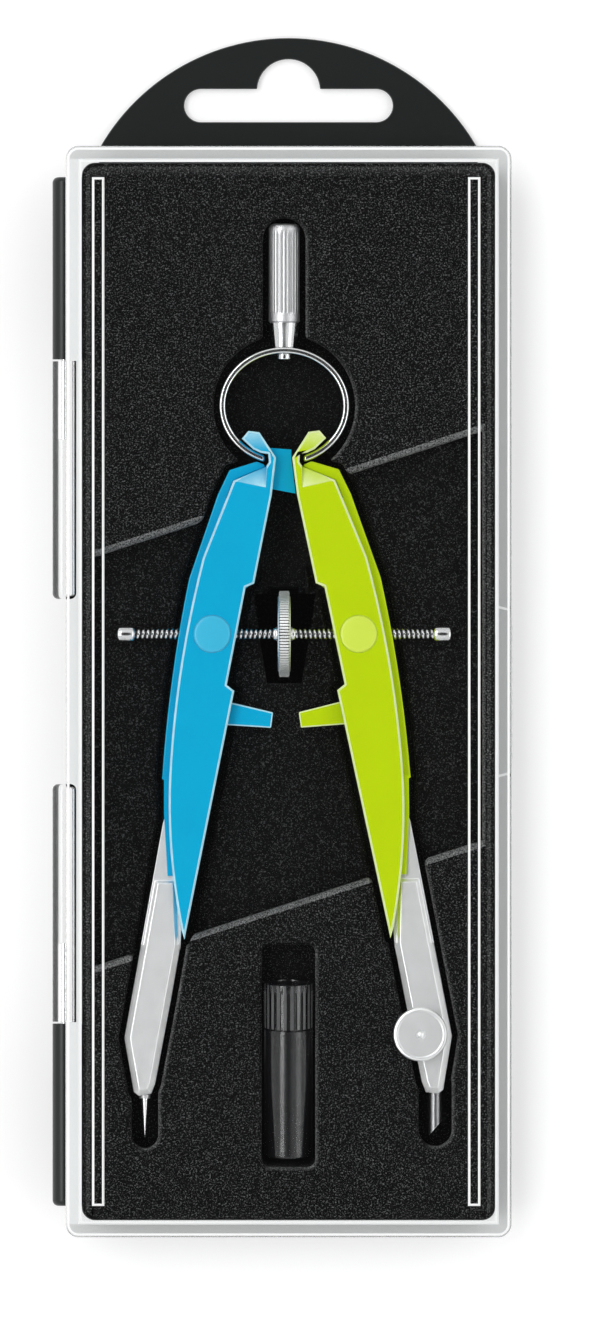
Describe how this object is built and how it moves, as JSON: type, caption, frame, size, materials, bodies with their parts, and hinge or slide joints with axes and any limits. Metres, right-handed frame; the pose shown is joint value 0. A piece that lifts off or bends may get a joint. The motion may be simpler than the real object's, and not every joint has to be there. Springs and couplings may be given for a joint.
{
  "type": "drafting instrument case",
  "caption": "Slim hanging case with a clear hinged lid, black flocked insert, spindle bow compass with coloured legs and a round lead box.",
  "frame": {"origin": "middle of the tray's back face, where the case lies on a table", "axes": "+X from hinge to latch, +Y towards the hang tab, +Z towards the lid"},
  "size_m": [0.0706, 0.1842, 0.02],
  "materials": {
    "clear_plastic": "clear polished polystyrene",
    "black_plastic": "finely textured black",
    "black_flock": "black flock",
    "steel": "plain steel",
    "satin_metal": "satin",
    "chrome": "polished",
    "blue_plastic": "satin moulded",
    "light_blue_plastic": "satin moulded",
    "lime_plastic": "satin moulded",
    "light_lime_plastic": "satin moulded",
    "graphite": "drawn graphite",
    "gloss_black_plastic": "gloss"
  },
  "bodies": {
    "case": {"base_tray": "black_plastic", "flocked_insert": "black_flock", "hang_tab": "black_plastic", "hinge_pins": "steel"},
    "case_lid": {"lid": "clear_plastic"},
    "compass_head": {"handle_grip": "satin_metal", "handle_neck": "chrome", "ring_spring": "chrome", "ring_nut": "chrome", "pivot_pin": "steel"},
    "left_leg": {"left_front_cover": "blue_plastic", "left_rear_cover": "blue_plastic", "left_shank": "satin_metal", "left_lever_spring": "steel", "needle": "steel", "needle_ferrule": "satin_metal"},
    "right_leg": {"right_front_cover": "lime_plastic", "right_rear_cover": "lime_plastic", "right_shank": "satin_metal", "right_lever_spring": "steel", "compass_lead": "graphite", "clamp_nut": "steel"},
    "left_nut": {"left_trunnion_nut": "steel", "left_button": "light_blue_plastic"},
    "right_nut": {"right_trunnion_nut": "steel", "right_button": "light_lime_plastic"},
    "left_lever": {"left_release_lever": "blue_plastic"},
    "right_lever": {"right_release_lever": "lime_plastic"},
    "spindle_set": {"spindle": "chrome", "spindle_end_caps": "chrome", "spindle_collars": "chrome", "adjusting_wheel": "satin_metal"},
    "clamp_screw": {"thumb_screw": "satin_metal"},
    "lead_box": {"lead_box_tube": "gloss_black_plastic", "spare_leads": "graphite"},
    "lead_box_top": {"lead_box_cap": "gloss_black_plastic"}
  },
  "joints": [
    {"name": "lid_hinge", "type": "hinge", "parent": "case", "child": "case_lid", "pos_m": [-0.0344, 0, 0.01], "axis": [0, -1, 0], "range_deg": [0, 180]},
    {"name": "compass_lift", "type": "slide", "parent": "case", "child": "compass_head", "axis": [0, 0, 1], "range_m": [0, 0.0015]},
    {"name": "wheel_turn", "type": "hinge", "parent": "compass_head", "child": "spindle_set", "pos_m": [-0.00066, 0.00883, 0.0094], "axis": [1, 0, 0], "range_deg": [-85, 85]},
    {"name": "left_leg_swing", "type": "hinge", "parent": "compass_head", "child": "left_leg", "pos_m": [-0.00066, 0.034, 0.0094], "axis": [0, 0, 1], "range_deg": [-0.4, 0.4]},
    {"name": "left_nut_turn", "type": "hinge", "parent": "left_leg", "child": "left_nut", "pos_m": [-0.01173, 0.00883, 0.0094], "axis": [0, 0, 1], "range_deg": [-0.4, 0.4]},
    {"name": "left_lever_press", "type": "hinge", "parent": "left_leg", "child": "left_lever", "pos_m": [-0.01226, -0.0035, 0.0094], "axis": [0, 0, -1], "range_deg": [0, 5], "stiffness_Nm_per_rad": 0.002},
    {"name": "right_leg_swing", "type": "hinge", "parent": "compass_head", "child": "right_leg", "pos_m": [-0.00066, 0.034, 0.0094], "axis": [0, 0, 1], "range_deg": [-0.4, 0.4]},
    {"name": "right_nut_turn", "type": "hinge", "parent": "right_leg", "child": "right_nut", "pos_m": [0.01076, 0.00883, 0.0094], "axis": [0, 0, 1], "range_deg": [-0.4, 0.4]},
    {"name": "right_lever_press", "type": "hinge", "parent": "right_leg", "child": "right_lever", "pos_m": [0.01146, -0.00333, 0.0094], "axis": [0, 0, 1], "range_deg": [0, 5], "stiffness_Nm_per_rad": 0.002},
    {"name": "clamp_screw_turn", "type": "hinge", "parent": "right_leg", "child": "clamp_screw", "pos_m": [0.02024, -0.0526, 0.012], "axis": [0, 0, 1], "range_deg": [0, 180]},
    {"name": "lead_box_lift", "type": "slide", "parent": "case", "child": "lead_box", "axis": [0, 0, 1], "range_m": [0, 0.0024]},
    {"name": "lead_box_cap_pull", "type": "slide", "parent": "lead_box", "child": "lead_box_top", "axis": [0, 0.9903, 0.1392], "range_m": [0, 0.0053]}
  ],
  "couplings": [
    {"joint": "left_leg_swing", "follows": "wheel_turn", "ratio": -0.004553},
    {"joint": "left_nut_turn", "follows": "wheel_turn", "ratio": 0.004553},
    {"joint": "right_leg_swing", "follows": "wheel_turn", "ratio": 0.004553},
    {"joint": "right_nut_turn", "follows": "wheel_turn", "ratio": -0.004553}
  ]
}
